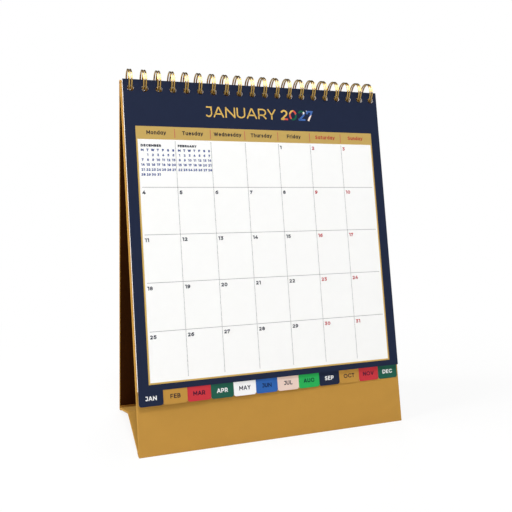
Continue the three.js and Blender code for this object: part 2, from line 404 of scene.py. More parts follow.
def hole_cutters(side):
    """Cylinders through a panel, one for each loop of the wire."""
    cutters = bmesh.new()
    for x in LOOPS_X:
        bmesh.ops.create_cone(
            cutters, cap_ends=True, segments=PANEL_HOLE_SIDES, radius1=HOLE_RADIUS, radius2=HOLE_RADIUS,
            depth=CUTTER_LENGTH, matrix=Matrix.Translation((x, 0, -PANEL_HOLE_DROP)) @ UPRIGHT,
        )
    return piece("cutters", cutters, [], place=panel_place(side))


def panel(side, name, body, node):
    middle = side * (SPINE_GAP / 2 + BOARD / 2)
    top = SPINE_DROP + FIT
    drawing = slab(STAND_WIDTH, BOARD, SLOPE, (0, middle, -top - SLOPE / 2))
    bmesh.ops.transform(drawing, matrix=panel_place(side), verts=drawing.verts)
    cut_off(drawing, (0, 0, 0), (0, 0, -1))
    soften(drawing, WRAP_ROUNDING)
    board = piece(name, drawing, [wrap_paper])

    cutters = hole_cutters(side)
    punch = board.modifiers.new("punched_holes", "BOOLEAN")
    punch.object = cutters
    punch.solver = "EXACT"
    punched = baked(board)
    board.modifiers.clear()
    board.data = punched
    bpy.data.objects.remove(cutters)
    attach(board, body)
    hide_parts(node)
    return board


front_panel = panel(FRONT, "front_panel_board", "front_panel", "front_board")
back_panel = panel(BACK, "back_panel_board", "back_panel", "back_board")
print("panel faces:", len(front_panel.data.polygons), len(back_panel.data.polygons))

# %% [markdown]
# ## The lining of the panels, painted as shade
#
# Inside, each panel is lined with a thin sheet whose dark brown is painted shade: it stands for the shadow
# inside the stand. The sheet is thin and flat, so a plain slab on the inner face is all it needs. It starts
# under the wire's holes and stops just over the base.

# %% Liners
LINER = 0.2 * MM
LINER_INSET = 0.4 * MM
LINER_TOP = 10 * MM
LINER_FOOT = 3.2 * MM


def drop_of(height):
    """How far down a panel's inner face a height above the table lies, from the wire's middle line."""
    return (AXIS_HEIGHT - height + SPINE_GAP / 2 * math.sin(LEAN)) / math.cos(LEAN)


def liner(side, name, body, node):
    middle = side * (SPINE_GAP / 2 - FIT - LINER / 2)
    foot = drop_of(0) - LINER_FOOT
    drawing = slab(
        STAND_WIDTH - LINER_INSET * 2, LINER, foot - LINER_TOP, (0, middle, -(foot + LINER_TOP) / 2),
    )
    # The sheet's dark brown is painted shade, for the shadow on the panel's inner face.
    return piece(name, drawing, [painted_shade_sheet], panel_place(side), body, [node])


liner(FRONT, "front_panel_shade_lining", "front_panel", "front_liner")
liner(BACK, "back_panel_shade_lining", "back_panel", "back_liner")
print("liner foot:", LINER_FOOT / MM, "mm above the table, along the panel")

# %% [markdown]
# ## The creased base
#
# The base is one strip of board with a crease along its middle, which stands up like a low roof. Each half
# turns about the foot of its own panel, so the two halves are separate pieces. Each is a flat slab that
# starts just clear of the fold at the foot, and stops short of the crease.

# %% Base boards
FOLD_RUN = 1.1 * MM
FOLD_HEIGHT = 1.05 * MM
FOLD_INSET = 0.85 * MM
CREASE_HEIGHT = 12 * MM
CREASE_GAP = 10.4 * MM


def inner_face_y(height):
    """Where the front panel's inner face is, at a height above the table."""
    return -drop_of(height) * math.sin(LEAN) - SPINE_GAP / 2 * math.cos(LEAN)


HINGE_Y = inner_face_y(FOLD_HEIGHT) + FOLD_INSET
BASE_SLOPE = math.atan2(CREASE_HEIGHT - FOLD_HEIGHT, -HINGE_Y)
BASE_LENGTH = math.hypot(CREASE_HEIGHT - FOLD_HEIGHT, HINGE_Y)
BASE_END = BASE_LENGTH - CREASE_GAP / 2 / math.cos(BASE_SLOPE)


def base_place(side):
    """From a flat drawing of half the base, with y from its hinge to the crease, to its place."""
    turned = Matrix.Rotation(BASE_SLOPE, 4, "X")
    front = Matrix.Translation((0, HINGE_Y, FOLD_HEIGHT)) @ turned
    return front if side == FRONT else Matrix.Rotation(math.pi, 4, "Z") @ front


def base_board(side, name, body, node):
    length = BASE_END - FOLD_RUN
    drawing = slab(STAND_WIDTH, length, BOARD, (0, FOLD_RUN + length / 2, 0))
    soften(drawing, WRAP_ROUNDING)
    return piece(name, drawing, [wrap_paper], base_place(side), body, [node])


base_board(FRONT, "base_front_half", "base_front", "base_front_board")
base_board(BACK, "base_rear_half", "base_rear", "base_rear_board")
print("base slope:", round(math.degrees(BASE_SLOPE), 1), "degrees")

# %% [markdown]
# ## Paper folds
#
# A fold is a strip of paper with a rounded profile. An edge as long as the stand is dragged along the
# profile, and the surface gets its thickness last. The folds at the top and at the feet join two bodies,
# so they ride on neither body and stay where they are drawn.

# %% Folded strips
def folded_strip(profile, thickness):
    """A strip along X whose outer face follows the profile's (y, z) points. Its paper lies to their right."""
    drawing = bmesh.new()
    half = STAND_WIDTH / 2
    ends = [drawing.verts.new((x, *profile[0])) for x in (-half, half)]
    edge = drawing.edges.new(ends)
    for before, after in zip(profile, profile[1:]):
        step = bmesh.ops.extrude_edge_only(drawing, edges=[edge])["geom"]
        edge = next(part for part in step if isinstance(part, bmesh.types.BMEdge))
        move = (0, after[0] - before[0], after[1] - before[1])
        bmesh.ops.translate(drawing, vec=move, verts=edge.verts)
    bmesh.ops.recalc_face_normals(drawing, faces=drawing.faces)
    bmesh.ops.solidify(drawing, geom=drawing.faces[:], thickness=thickness)
    bmesh.ops.recalc_face_normals(drawing, faces=drawing.faces)
    return drawing


def arc(centre, radius, start, stop, steps):
    """Points of a circle in the YZ plane, from one angle to another."""
    turns = [start + (stop - start) * step / steps for step in range(steps + 1)]
    return [(centre[0] + radius * math.cos(turn), centre[1] + radius * math.sin(turn)) for turn in turns]


TOP_FOLD_STEPS = 24
top_centre = (0, AXIS_HEIGHT - SPINE_DROP / math.cos(LEAN))
top_radius = FACE_OFFSET + SPINE_DROP * math.tan(LEAN)
top_profile = arc(top_centre, top_radius, LEAN, math.pi - LEAN, TOP_FOLD_STEPS)
top_fold = piece("top_fold_wrap", folded_strip(top_profile, SPINE_PAPER), [wrap_paper],
                 replaces=["spine_fold"])
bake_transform(top_fold)
print("top fold radius:", round(top_radius / MM, 2), "mm")

# %% [markdown]
# ## The paper at the feet
#
# At each foot the wrap goes on under the panel's cut edge and up the underside of the base board. It is
# the hinge there, so it lies flat under the edge, then takes the base's slope, and bends between the two.

# %% Foot folds
FOOT_PAPER = 0.3 * MM
FOOT_RUN = 4.6 * MM
FOOT_FLAT = 0.3 * MM
FOOT_STEPS = 8


def foot_fold(side, name, node):
    start = inner_face_y(FIT + FOOT_PAPER) + FIT
    profile = []
    for step in range(FOOT_STEPS + 1):
        y = start + FOOT_RUN * step / FOOT_STEPS
        rise = max(0, y - HINGE_Y - FOOT_FLAT) * math.tan(BASE_SLOPE)
        profile.append((-side * y, FIT + FOOT_PAPER + rise))
    strip = piece(name, folded_strip(profile, FOOT_PAPER), [wrap_paper], replaces=[node])
    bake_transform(strip)
    return strip


front_foot = foot_fold(FRONT, "front_foot_wrap", "front_foot_fold")
rear_foot = foot_fold(BACK, "rear_foot_wrap", "rear_foot_fold")
print("foot folds:", front_foot.name, rear_foot.name)

# %% [markdown]
# ## The crease of the base
#
# The strip of board bends along its middle. It is made as two tongues, one on each half of the base, that
# meet upright in the middle, so that each stays with its board when the stand folds. Their lower edges are
# cut back by the angle that the base turns through, because the halves fold towards each other there.

# %% Crease tongues
TONGUE_ROOT = 0.6 * MM
TONGUE_SPARE = 2 * MM
BASE_TURN = math.radians(joints["base_front_fold"]["range_deg"][1])


def crease_tongue(side, name, body):
    start, stop = BASE_END - TONGUE_ROOT, BASE_LENGTH + TONGUE_SPARE
    drawing = slab(STAND_WIDTH, stop - start, BOARD - FIT * 2, (0, (start + stop) / 2, 0))
    bmesh.ops.transform(drawing, matrix=base_place(side), verts=drawing.verts)
    meeting = (0, 0, CREASE_HEIGHT)
    cut_off(drawing, meeting, (0, -side, 0))
    cut_off(drawing, meeting, (0, -side * math.cos(BASE_TURN), -math.sin(BASE_TURN)))
    bmesh.ops.recalc_face_normals(drawing, faces=drawing.faces)
    return piece(name, drawing, [wrap_paper], rides=body, replaces=["crease_fold"])


crease_tongue(FRONT, "crease_front_tongue", "base_front")
crease_tongue(BACK, "crease_rear_tongue", "base_rear")
print("base turns up by", round(math.degrees(BASE_TURN), 1), "degrees")

# %% [markdown]
# ## Punched cards with tabs
#
# A card is a flat outline with a row of punched holes, so it is filled once as a flat face and then gets
# its thickness. Before that the flat face is cut along the borders of its printed areas, and each part
# takes the ink that covers it: flood colour, thin gold frame, gold band for the weekdays and white field.
# Cut faces keep the print sharp at any size, which a small picture of the page wouldn't.

# %% Measures of a card
SHEET_HEIGHT = 183 * MM
SHEET_THICKNESS = 0.18 * MM
SHEET_GAP = 0.04 * MM
SHEET_DROP = 0.35 * MM
TAB_HEIGHT = 8.5 * MM
TAB_ROUNDING = 1.6 * MM
SHEET_HOLE_DROP = 5.75 * MM
SHEET_HOLE_SIDES = 24

FRAME_HALF = 78.8 * MM
FRAME_TOP = 28.6 * MM
FRAME_BOTTOM = 179.8 * MM
FRAME_LINE = 0.95 * MM
BAND_BOTTOM = 36.5 * MM
FIELD_HALF = FRAME_HALF - FRAME_LINE
FIELD_BOTTOM = FRAME_BOTTOM - FRAME_LINE
TAB_LINE = SHEET_DROP + SHEET_HEIGHT
TAB_WIDTH = SHEET_WIDTH / len(MONTHS)


def tab_left(index):
    return -SHEET_WIDTH / 2 + index * TAB_WIDTH


def face_y(index):
    """The printed face of a card, in the front panel's drawing. December lies on the panel."""
    behind = len(MONTHS) - 1 - index
    return -FACE_OFFSET - FIT - behind * (SHEET_THICKNESS + SHEET_GAP) - SHEET_THICKNESS


# %% Card outline, holes and printed areas
def card_outline(index):
    """Corner points, and the places in the list of the tab's two lower corners."""
    left, right = tab_left(index), tab_left(index) + TAB_WIDTH
    half = SHEET_WIDTH / 2
    foot, tip = -TAB_LINE, -TAB_LINE - TAB_HEIGHT
    corners = [(half, -SHEET_DROP), (-half, -SHEET_DROP)]
    if index > 0:
        corners += [(-half, foot), (left, foot)]
    corners += [(left, tip), (right, tip)]
    tab_corners = (len(corners) - 2, len(corners) - 1)
    if index < len(MONTHS) - 1:
        corners += [(right, foot), (half, foot)]
    return corners, tab_corners


def flat_card(index):
    corners, tab_corners = card_outline(index)
    drawing = bmesh.new()
    points = [drawing.verts.new((x, 0, z)) for x, z in corners]
    drawing.faces.new(points)
    bmesh.ops.bevel(
        drawing, geom=[points[at] for at in tab_corners], affect="VERTICES", offset=TAB_ROUNDING,
        segments=6, profile=0.5, material=-1,
    )
    bmesh.ops.delete(drawing, geom=drawing.faces[:], context="FACES_ONLY")
    for x in LOOPS_X:
        bmesh.ops.create_circle(
            drawing, cap_ends=False, segments=SHEET_HOLE_SIDES, radius=HOLE_RADIUS,
            matrix=Matrix.Translation((x, 0, -SHEET_HOLE_DROP)) @ UPRIGHT,
        )
    bmesh.ops.triangle_fill(drawing, use_beauty=True, edges=drawing.edges[:], normal=(0, -1, 0))
    return drawing


FLOOD, FRAME, BAND, FIELD, PLAIN = range(5)


def printed_area(x, drop):
    """Which ink covers the printed face at that place."""
    inside_frame = abs(x) < FRAME_HALF and FRAME_TOP < drop < FRAME_BOTTOM
    if not inside_frame:
        return FLOOD
    if drop < BAND_BOTTOM:
        return BAND
    inside_field = abs(x) < FIELD_HALF and drop < FIELD_BOTTOM
    return FIELD if inside_field else FRAME


def month_card(index, month, flood):
    drawing = flat_card(index)
    for x in (-FRAME_HALF, -FIELD_HALF, FIELD_HALF, FRAME_HALF):
        cut_along(drawing, (x, 0, 0), (1, 0, 0))
    for drop in (FRAME_TOP, BAND_BOTTOM, FIELD_BOTTOM, FRAME_BOTTOM, TAB_LINE):
        cut_along(drawing, (0, 0, -drop), (0, 0, 1))
    bmesh.ops.recalc_face_normals(drawing, faces=drawing.faces)
    if drawing.faces[:][0].normal.y > 0:
        bmesh.ops.reverse_faces(drawing, faces=drawing.faces)
    for face in drawing.faces:
        centre = face.calc_center_median()
        face.material_index = printed_area(centre.x, -centre.z)

    bmesh.ops.solidify(drawing, geom=drawing.faces[:], thickness=SHEET_THICKNESS)
    for face in drawing.faces:
        on_tab = -face.calc_center_median().z > TAB_LINE
        if face.normal.y > 0.5:
            face.material_index = FLOOD if on_tab else PLAIN
        elif face.normal.y > -0.5:
            face.material_index = PLAIN
    place = panel_place(FRONT) @ Matrix.Translation((0, face_y(index), 0))
    inks_used = [flood_ink[flood], inks["frame"], inks["band"], bare_card, bare_card]
    return piece(
        f"{month}_card", drawing, inks_used, place, f"page_{month}",
        [f"sheet_{index + 1:02d}_{month}"],
    )


cards = [month_card(index, month, flood) for index, (month, _, flood) in enumerate(MONTHS)]
print("faces of the first card:", len(cards[0].data.polygons))

# %% [markdown]
# ## Lettering
#
# The words and numbers are the plain ones that any calendar has: months, weekdays and dates. They are drawn
# in an even-stroke style, the kind a draughtsman's lettering guide gives: each letter is a few lines and
# arcs that a pen of one width follows. Letters are given in shares of a capital's height, with their width
# first. A pen line becomes a mesh as an upright ribbon, which Solidify widens evenly to both sides.
# A style holds the height of the capitals, the stretch of the letters along the line, and the pen's width
# as a share of the height.

# %% Letters as pen lines
BOW_STEP = 18


def bow(x, y, across, high, start=90, stop=450):
    """Points of an arc about (x, y), from one angle to another in degrees, or once round."""
    steps = max(3, round(abs(stop - start) / BOW_STEP))
    turns = [math.radians(start + (stop - start) * step / steps) for step in range(steps + 1)]
    return [(x + across * math.cos(turn), y + high * math.sin(turn)) for turn in turns]


X_HEIGHT = 0.74
TALL = 1.06
ROUND = bow(0.28, X_HEIGHT / 2, 0.28, X_HEIGHT / 2)
ARCH = [(0, 0.3)] + bow(0.25, X_HEIGHT - 0.27, 0.25, 0.27, 165, 0) + [(0.5, 0)]
P_BOWL = [(0, 1), (0.32, 1)] + bow(0.34, 0.68, 0.28, 0.32, 90, -90) + [(0, 0.36)]
LETTERS = {
    "A": (0.78, [[(0, 0), (0.36, 1), (0.42, 1), (0.78, 0)], [(0.14, 0.30), (0.64, 0.30)]]),
    "B": (0.62, [[(0, 0), (0, 1), (0.3, 1)] + bow(0.32, 0.76, 0.25, 0.24, 90, -90) + [(0, 0.52)],
                 [(0, 0.52), (0.32, 0.52)] + bow(0.35, 0.26, 0.27, 0.26, 90, -90) + [(0, 0)]]),
    "C": (0.82, [bow(0.5, 0.5, 0.5, 0.5, 42, 318)]),
    "D": (0.80, [[(0, 0), (0, 1), (0.3, 1)] + bow(0.32, 0.5, 0.48, 0.5, 90, -90) + [(0, 0)]]),
    "E": (0.56, [[(0.55, 1), (0, 1), (0, 0), (0.56, 0)], [(0, 0.52), (0.5, 0.52)]]),
    "F": (0.55, [[(0.55, 1), (0, 1), (0, 0)], [(0, 0.46), (0.5, 0.46)]]),
    "G": (0.86, [bow(0.5, 0.5, 0.5, 0.5, 42, 320) + [(0.86, 0.5)]]),
    "H": (0.70, [[(0, 0), (0, 1)], [(0.7, 0), (0.7, 1)], [(0, 0.5), (0.7, 0.5)]]),
    "I": (0.00, [[(0, 0), (0, 1)]]),
    "J": (0.44, [[(0.08, 1), (0.44, 1), (0.44, 0.28)] + bow(0.22, 0.28, 0.22, 0.28, 0, -140)]),
    "L": (0.52, [[(0, 1), (0, 0), (0.52, 0)]]),
    "M": (0.86, [[(0, 0), (0, 1)], [(0.04, 0.93), (0.41, 0.3), (0.45, 0.3), (0.82, 0.93)],
                 [(0.86, 1), (0.86, 0)]]),
    "N": (0.75, [[(0, 0), (0, 1)], [(0.05, 0.93), (0.70, 0.07)], [(0.75, 0), (0.75, 1)]]),
    "O": (1.04, [bow(0.52, 0.5, 0.52, 0.5)]),
    "P": (0.62, [[(0, 0)] + P_BOWL]),
    "R": (0.62, [[(0, 0)] + P_BOWL, [(0.36, 0.36), (0.62, 0)]]),
    "S": (0.58, [bow(0.29, 0.75, 0.27, 0.25, 38, 255) + bow(0.29, 0.26, 0.29, 0.26, 75, -142)]),
    "T": (0.66, [[(0, 1), (0.66, 1)], [(0.33, 1), (0.33, 0)]]),
    "U": (0.64, [[(0, 1), (0, 0.34)] + bow(0.32, 0.32, 0.32, 0.32, 180, 360) + [(0.64, 1)]]),
    "V": (0.76, [[(0, 1), (0.35, 0), (0.41, 0), (0.76, 1)]]),
    "W": (1.14, [[(0, 1), (0.27, 0), (0.31, 0), (0.55, 1), (0.59, 1), (0.83, 0), (0.87, 0), (1.14, 1)]]),
    "Y": (0.62, [[(0, 1), (0.31, 0.4), (0.62, 1)], [(0.31, 0.4), (0.31, 0)]]),
    "a": (0.56, [ROUND, [(0.56, X_HEIGHT), (0.56, 0)]]),
    "d": (0.56, [ROUND, [(0.56, TALL), (0.56, 0)]]),
    "e": (0.56, [[(0.02, 0.38)] + bow(0.28, X_HEIGHT / 2, 0.28, X_HEIGHT / 2, 3, 300)]),
    "h": (0.50, [[(0, TALL), (0, 0)], ARCH]),
    "i": (0.00, [[(0, X_HEIGHT), (0, 0)], [(0, 1.03), (0, 1.04)]]),
    "n": (0.50, [[(0, X_HEIGHT), (0, 0)], ARCH]),
    "o": (0.56, [ROUND]),
    "r": (0.28, [[(0, X_HEIGHT), (0, 0)], bow(0.28, 0.42, 0.28, 0.32, 170, 90)]),
    "s": (0.42, [bow(0.21, 0.55, 0.19, 0.19, 38, 255) + bow(0.21, 0.20, 0.21, 0.20, 75, -142)]),
    "t": (0.36, [[(0.13, 0.95), (0.13, 0.2)] + bow(0.3, 0.2, 0.17, 0.2, 180, 285),
                 [(0, 0.72), (0.34, 0.72)]]),
    "u": (0.50, [[(0, X_HEIGHT), (0, 0.3)] + bow(0.25, 0.27, 0.25, 0.27, 180, 345),
                 [(0.5, X_HEIGHT), (0.5, 0)]]),
    "y": (0.56, [[(0, X_HEIGHT), (0.28, 0.06)], [(0.56, X_HEIGHT), (0.22, -0.12), (0.04, -0.22)]]),
    "0": (0.66, [bow(0.33, 0.5, 0.33, 0.5)]),
    "1": (0.26, [[(0, 1), (0.26, 1), (0.26, 0)]]),
    "2": (0.60, [bow(0.29, 0.7, 0.28, 0.3, 150, -35) + [(0.09, 0.06)], [(0.03, 0), (0.6, 0)]]),
    "3": (0.58, [[(0.03, 1), (0.53, 1), (0.26, 0.6)] + bow(0.28, 0.3, 0.3, 0.3, 80, -145)]),
    "4": (0.68, [[(0.42, 1), (0, 0.27), (0.68, 0.27)], [(0.5, 0.5), (0.5, 0)]]),
    "5": (0.58, [[(0.54, 1), (0.1, 1), (0.06, 0.6)] + bow(0.27, 0.31, 0.31, 0.31, 100, -145)]),
    "6": (0.60, [bow(0.3, 0.31, 0.3, 0.31), bow(0.46, 0.4, 0.46, 0.6, 75, 180)]),
    "7": (0.54, [[(0, 0.8), (0, 1), (0.54, 1), (0.14, 0)]]),
    "8": (0.60, [bow(0.3, 0.765, 0.24, 0.235), bow(0.3, 0.27, 0.3, 0.27)]),
    "9": (0.60, [bow(0.3, 0.69, 0.3, 0.31), bow(0.14, 0.6, 0.46, 0.6, -105, 0)]),
}
print("letters:", len(LETTERS))

# %% Strings as meshes
INK_THICKNESS = 0.02 * MM
LETTER_GAP = 0.14
STYLES = {
    "title": (6.7 * MM, 1.115, 0.13),
    "year": (6.7 * MM, 0.95, 0.17),
    "weekday": (2.4 * MM, 0.83, 0.2),
    "date": (2.2 * MM, 0.93, 0.24),
    "small_name": (1.5 * MM, 0.86, 0.3),
    "small_initial": (1.5 * MM, 0.9, 0.3),
    "small_date": (1.5 * MM, 0.8, 0.26),
    "light_label": (2.55 * MM, 0.86, 0.2),
    "dark_label": (2.55 * MM, 0.86, 0.19),
}
string_meshes = {}


def beyond(point, inner, reach):
    """A line's end, moved on by reach, so that the pen's square tip ends where a letter's stem does."""
    share = reach / math.dist(point, inner)
    return tuple(end + (end - before) * share for end, before in zip(point, inner))


def pen_line(ribbon, points, reach):
    """An upright ribbon along one pen line. A line that ends where it starts is closed."""
    closed = math.dist(points[0], points[-1]) < 1e-9
    if not closed:
        first, last = beyond(points[0], points[1], reach), beyond(points[-1], points[-2], reach)
        points = [first] + points[1:-1] + [last]
    stops = [ribbon.verts.new((x, y, 0)) for x, y in (points[:-1] if closed else points)]
    line = [ribbon.edges.new(pair) for pair in zip(stops, stops[1:])]
    if closed:
        line.append(ribbon.edges.new((stops[-1], stops[0])))
    raised = bmesh.ops.extrude_edge_only(ribbon, edges=line)["geom"]
    tops = [part for part in raised if isinstance(part, bmesh.types.BMVert)]
    bmesh.ops.translate(ribbon, vec=(0, 0, INK_THICKNESS), verts=tops)


def string_mesh(words, style):
    """The mesh of a string, which starts at 0 and stands on the x axis, and its length."""
    key = (words, style)
    if key in string_meshes:
        return string_meshes[key]
    cap_height, stretch, weight = STYLES[style]
    ribbon = bmesh.new()
    along = weight / 2
    for letter in words:
        letter_width, lines = LETTERS[letter]
        for line in lines:
            pen_line(ribbon, [
                ((along + x * stretch) * cap_height, (weight / 2 + y * (1 - weight)) * cap_height)
                for x, y in line
            ], weight / 2 * cap_height)
        along += letter_width * stretch + weight + LETTER_GAP
    holder = piece("string", ribbon, [])
    pen = holder.modifiers.new("pen_width", "SOLIDIFY")
    pen.thickness = weight * cap_height
    pen.offset = 0
    pen.use_even_offset = True
    mesh = baked(holder)
    bpy.data.objects.remove(holder)
    string_meshes[key] = (mesh, (along - weight / 2 - LETTER_GAP) * cap_height)
    return string_meshes[key]


# %% Placing a string or a rule on a card
def add_copy(drawing, mesh, x, drop):
    """Adds a mesh to the drawing, with its origin there."""
    start = len(drawing.verts)
    drawing.from_mesh(mesh)
    drawing.verts.ensure_lookup_table()
    bmesh.ops.translate(drawing, vec=(x, -drop, 0), verts=drawing.verts[start:])


def colour_faces(drawing, start, ink_name):
    """Gives one ink to the faces that were added last, from that number on."""
    drawing.faces.ensure_lookup_table()
    for face in drawing.faces[start:]:
        face.material_index = INK_ORDER.index(ink_name)


def write(drawing, words, x, drop, style, ink_name, align=0):
    """Prints a string: x is its left edge for align 0, its middle for 0.5; drop is the baseline's."""
    mesh, length = string_mesh(words, style)
    start = len(drawing.faces)
    add_copy(drawing, mesh, x - align * length, drop)
    colour_faces(drawing, start, ink_name)


def rule(drawing, x, drop, width, height, ink_name):
    """Prints a small bar about that middle."""
    start = len(drawing.faces)
    place = Matrix.Translation((x, -drop, INK_THICKNESS / 2))
    bmesh.ops.create_cube(drawing, size=1, matrix=place @ Matrix.Diagonal((width, height, INK_THICKNESS, 1)))
    colour_faces(drawing, start, ink_name)


# %% [markdown]
# ## The grid that all the months share
#
# Seven columns and five rows fill the white field. The rows are thin solid rules that stop short of the
# frame, the columns are dotted, and short rust-coloured dividers stand between the weekdays. A dot is
# coarser than the printed one, so that it shows.

# %% Grid
WEEKDAYS = ["Monday", "Tuesday", "Wednesday", "Thursday", "Friday", "Saturday", "Sunday"]
COLUMN = 22.2 * MM
GRID_LEFT = -len(WEEKDAYS) / 2 * COLUMN
FIRST_RULE = 65.4 * MM
ROW = 28.16 * MM
ROWS = 5
RULE_HALF = 76.7 * MM
RULE_WIDTH = 0.25 * MM
DOT = 0.4 * MM
DOT_PITCH = 0.72 * MM
COLUMN_TOP = 37.6 * MM
COLUMN_FOOT = 177.5 * MM
BAND_MIDDLE = 32.6 * MM
DIVIDER_SIZE = (0.5 * MM, 5.6 * MM)
WEEKDAY_DROP = BAND_MIDDLE + 0.9 * MM
WEEKEND = 5


def cell_left(column):
    return GRID_LEFT + column * COLUMN


def cell_top(row):
    return FIRST_RULE + (row - 1) * ROW


def grid_drawing():
    grid = bmesh.new()
    for row in range(ROWS - 1):
        rule(grid, 0, FIRST_RULE + row * ROW, 2 * RULE_HALF, RULE_WIDTH, "rule")
    dots = math.floor((COLUMN_FOOT - COLUMN_TOP) / DOT_PITCH)
    for column in range(1, len(WEEKDAYS)):
        x = cell_left(column)
        rule(grid, x, BAND_MIDDLE, *DIVIDER_SIZE, "divider")
        for dot in range(dots):
            rule(grid, x, COLUMN_TOP + dot * DOT_PITCH, DOT, DOT, "rule")
    for column, weekday in enumerate(WEEKDAYS):
        ink_name = "red" if column >= WEEKEND else "dark"
        middle = cell_left(column) + COLUMN / 2
        write(grid, weekday, middle, WEEKDAY_DROP, "weekday", ink_name, align=0.5)
    mesh = bpy.data.meshes.new("grid")
    grid.to_mesh(mesh)
    grid.free()
    return mesh


grid_mesh = grid_drawing()
print("grid faces:", len(grid_mesh.polygons))

# %% [markdown]
# ## Dates, small months and titles
#
# The year starts on a Friday, and each month's first weekday follows from the days before it. The dates
# stand at the top left of their cells. The months before and after are printed small in two empty cells.

# %% Month pages
YEAR = 2027
FIRST_WEEKDAY_OF_YEAR = 4
DAYS = [days for _, days, _ in MONTHS]
WEEK = len(WEEKDAYS)
TITLE_DROP = 21.6 * MM
TITLE_SHIFT = 0.6 * MM
TITLE_GAP = 3.4 * MM
DATE_INSET = 1.0 * MM
DATE_DROP = 4.2 * MM
SMALL_ROW = 2.95 * MM
SMALL_COLUMN = 3.08 * MM
SMALL_INSET = 1.45 * MM
SMALL_MIDDLE = SMALL_INSET + SMALL_COLUMN / 4
SMALL_TOP = 3.6 * MM
SMALL_NAME_DROP = 0.9 * MM
SMALL_LINE_DROP = 0.7 * MM
LABEL_DROP = 5.3 * MM
LIGHT_LABEL_FLOODS = (NAVY, GREEN)
PALE_FLOODS = (OCHRE, WHITE, BLUSH, LEAF)
STRIPES = ["stripe_red", "stripe_green", "light", "stripe_blue", "stripe_cream"]
STRIPE_STARTS = [1.9 * MM, 6.2 * MM, 9.6 * MM, 11.3 * MM, 17.1 * MM]
STRIPE_SLANT = 1.1


def first_weekday(index):
    """Weekday of the month's first day, with Monday as 0. Indices beyond the year give its neighbours."""
    if index < 0:
        return (FIRST_WEEKDAY_OF_YEAR - DAYS[index]) % WEEK
    return (FIRST_WEEKDAY_OF_YEAR + sum(DAYS[:index])) % WEEK


def write_small_month(drawing, index, column, row):
    """A small month at the top left of a cell: its name, the weekdays' initials and then its weeks."""
    month, days, _ = MONTHS[index % len(MONTHS)]
    left = cell_left(column)
    top = (BAND_BOTTOM if row == 0 else cell_top(row)) + SMALL_TOP

    def small(words, place, line, style):
        write(drawing, words, left + SMALL_MIDDLE + place * SMALL_COLUMN,
              top + line * SMALL_ROW + SMALL_LINE_DROP, style, "mid", align=0.5)

    write(drawing, month.upper(), left + SMALL_INSET, top + SMALL_NAME_DROP, "small_name", "dark")
    for place, weekday in enumerate(WEEKDAYS):
        small(weekday[0], place, 1, "small_initial")
    for day in range(days):
        week, place = divmod(first_weekday(index) + day, WEEK)
        small(str(day + 1), place, 2 + week, "small_date")


def write_dates(drawing, index):
    first = first_weekday(index)
    for day in range(DAYS[index]):
        row, column = divmod(first + day, WEEK)
        drop = BAND_BOTTOM if row == 0 else cell_top(min(row, ROWS - 1))
        if row >= ROWS:
            drop += ROW / 2
        ink_name = "red" if column >= WEEKEND else "dark"
        write(drawing, str(day + 1), cell_left(column) + DATE_INSET, drop + DATE_DROP, "date", ink_name)


def year_digits(first_ink):
    """The year's digits, striped in the colours of the cards along one slant, from the title's ink on."""
    stripes = [first_ink] + STRIPES
    mesh, length = string_mesh(str(YEAR), "year")
    striped = bmesh.new()
    striped.from_mesh(mesh)
    for start in STRIPE_STARTS:
        cut_along(striped, (start, 0, 0), (1, -STRIPE_SLANT, 0))
    for face in striped.faces:
        centre = face.calc_center_median()
        slant = centre.x - STRIPE_SLANT * centre.y
        stripe = sum(slant > start for start in STRIPE_STARTS)
        face.material_index = INK_ORDER.index(stripes[stripe])
    cut = bpy.data.meshes.new("year")
    striped.to_mesh(cut)
    striped.free()
    return cut, length


def card_print(index, month, flood):
    title_ink = "dark" if flood in PALE_FLOODS else "title"
    year_mesh, year_length = year_digits(title_ink)
    title = month.upper()
    _, title_length = string_mesh(title, "title")
    title_x = TITLE_SHIFT - (title_length + TITLE_GAP + year_length) / 2
    drawing = bmesh.new()
    drawing.from_mesh(grid_mesh)
    write(drawing, title, title_x, TITLE_DROP, "title", title_ink)
    add_copy(drawing, year_mesh, title_x + title_length + TITLE_GAP, TITLE_DROP)
    write_dates(drawing, index)
    before_fits = first_weekday(index) >= 2
    cells = [(0, 0), (1, 0)] if before_fits else [(5, ROWS - 1), (6, ROWS - 1)]
    write_small_month(drawing, index - 1, *cells[0])
    write_small_month(drawing, index + 1, *cells[1])
    label_ink = "light" if flood in LIGHT_LABEL_FLOODS else "dark"
    write(drawing, month[:3].upper(), tab_left(index) + TAB_WIDTH / 2, TAB_LINE + LABEL_DROP,
          f"{label_ink}_label", label_ink, align=0.5)

    place = panel_place(FRONT) @ Matrix.Translation((0, face_y(index), 0)) @ UPRIGHT
    materials = [inks[name] for name in INK_ORDER]
    return piece(f"{month}_print", drawing, materials, place, f"page_{month}")


prints = [card_print(index, month, flood) for index, (month, _, flood) in enumerate(MONTHS)]
print("faces of the first print:", len(prints[0].data.polygons))

# %% [markdown]
# ## The twin-loop wire
#
# One length of wire makes all the rings. It comes out of the seam between the panels, goes round, turns
# back in a narrow tip, goes round again and steps to the next ring. The path is worked out from the ring's
# radius and the pitch of three loops to the inch, and a round profile gives it its thickness.

# %% Wire
RING_RADIUS = 6.7 * MM
WIRE_DIAMETER = 0.95 * MM
TWIN_SPACING = 1.45 * MM
SEAM_STEP = 0.75 * MM
SEAM_SPREAD = math.radians(26)
SEAM_BEND = 0.9 * MM
LEG_STEPS = 56
TIP_STEPS = 8
BEND_STEPS = 6


def smooth_step(share):
    share = min(max(share, 0), 1)
    return share * share * (3 - 2 * share)


